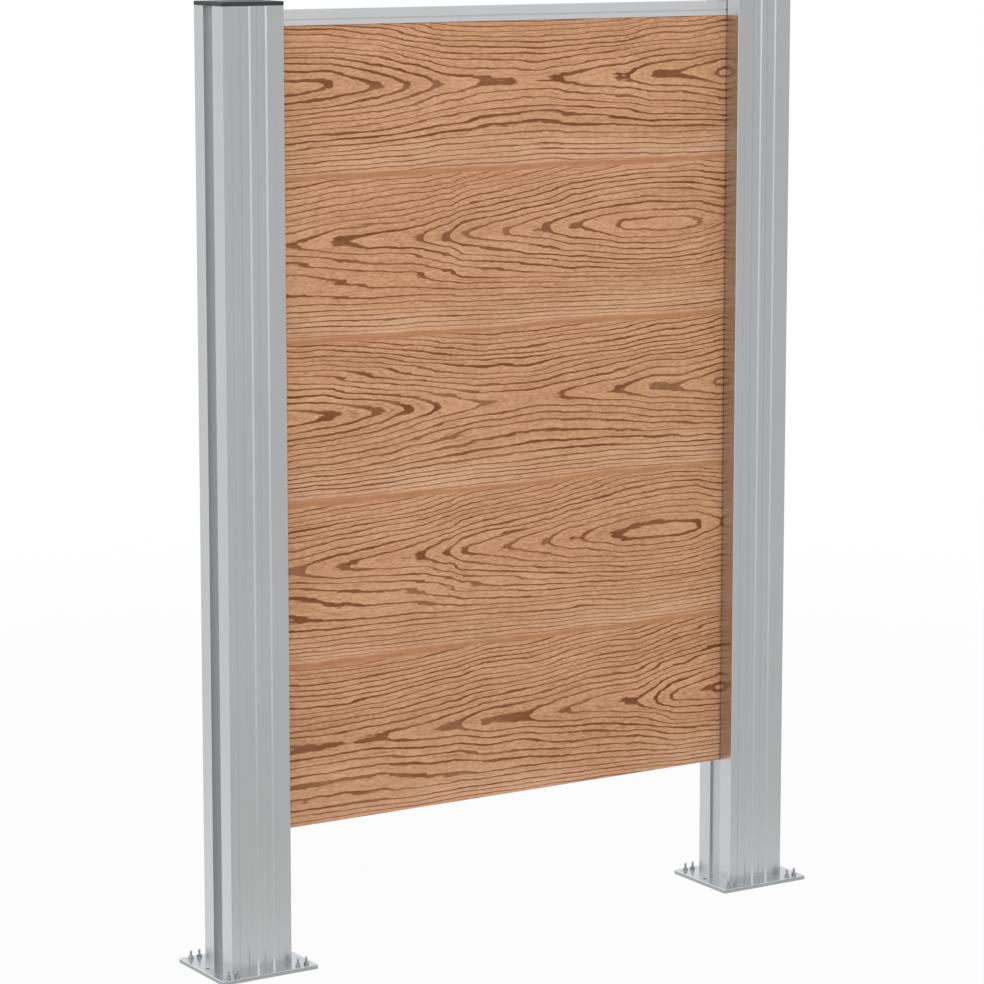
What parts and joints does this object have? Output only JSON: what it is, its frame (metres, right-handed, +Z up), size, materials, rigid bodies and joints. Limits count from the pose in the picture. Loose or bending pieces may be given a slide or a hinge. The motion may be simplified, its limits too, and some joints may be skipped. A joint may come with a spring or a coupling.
{
  "type": "bin screen",
  "caption": "Privacy screen for refuse bins: a flat wood-decor panel held between slotted aluminium posts on base plates, open below.",
  "frame": {"origin": "on the ground, midway between the posts, at the middle of the panel's thickness", "axes": "+Z up, +X along the panel to the right, the front towards -Y"},
  "size_m": [1.06, 0.14, 1.422],
  "materials": {
    "post_aluminium": "satin anodised extrusion",
    "rail_aluminium": "satin anodised extrusion",
    "filler_aluminium": "satin anodised extrusion",
    "plate_metal": "smooth, half glossy plate",
    "cap_plastic": "fine moulded black",
    "wood_decor": "matt wood-grain decor",
    "gasket_rubber": "matt black",
    "fastener_steel": "plain bright steel"
  },
  "bodies": {
    "root": {"left_post": "post_aluminium", "right_post": "post_aluminium", "top_rail": "rail_aluminium", "left_slot_filler": "filler_aluminium", "right_slot_filler": "filler_aluminium", "left_base_plate": "plate_metal", "right_base_plate": "plate_metal", "left_end_cap": "cap_plastic", "right_end_cap": "cap_plastic", "panel": "wood_decor", "left_front_gasket": "gasket_rubber", "right_front_gasket": "gasket_rubber", "left_rear_gasket": "gasket_rubber", "right_rear_gasket": "gasket_rubber", "left_anchor_studs": "fastener_steel", "right_anchor_studs": "fastener_steel", "left_anchor_washers": "fastener_steel", "right_anchor_washers": "fastener_steel", "left_anchor_nuts": "fastener_steel", "right_anchor_nuts": "fastener_steel", "left_post_screws": "fastener_steel", "right_post_screws": "fastener_steel"}
  },
  "joints": []
}
